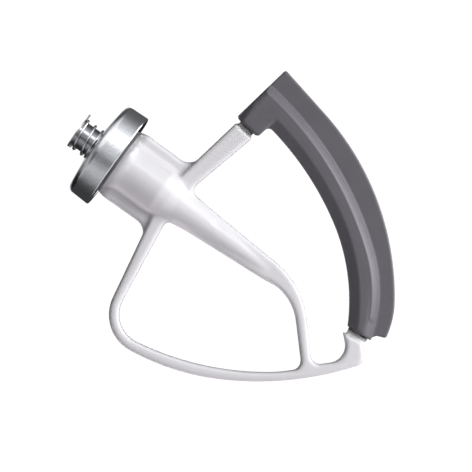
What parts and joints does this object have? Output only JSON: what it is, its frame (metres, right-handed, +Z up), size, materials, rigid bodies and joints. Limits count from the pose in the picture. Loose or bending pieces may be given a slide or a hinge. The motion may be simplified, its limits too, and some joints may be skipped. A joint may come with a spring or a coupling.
{
  "type": "stand mixer flat beater",
  "caption": "Coated cast flat beater with a moulded scraper edge on one side, a steel hub cap, and a sprung drive shaft stub for a bayonet fit.",
  "frame": {"origin": "middle of the top face of the drive shaft stub, where it leaves the mixer's planet hub", "axes": "+Z up along the shaft, beater hanging towards -Z, +X towards the scraper edge, flat of the beater in the XZ plane"},
  "size_m": [0.1463, 0.048, 0.1706],
  "materials": {
    "white_coating": "gloss white coating over cast aluminium",
    "grey_silicone": "matte moulded silicone",
    "polished_steel": "polished pressed steel",
    "turned_steel": "fine turned",
    "spring_steel": "drawn wire"
  },
  "bodies": {
    "shaft": {"drive_shaft": "turned_steel", "drive_pin": "turned_steel", "thrust_washer": "turned_steel", "shaft_spring": "spring_steel"},
    "beater": {"beater_casting": "white_coating", "flex_edge": "grey_silicone", "hub_cap": "polished_steel"}
  },
  "joints": [
    {"name": "beater_push", "type": "slide", "parent": "shaft", "child": "beater", "axis": [0, 0, 1], "range_m": [0, 0.004], "stiffness_N_per_m": 2000, "springref_m": -0.005, "deforming": ["shaft_spring"]}
  ]
}
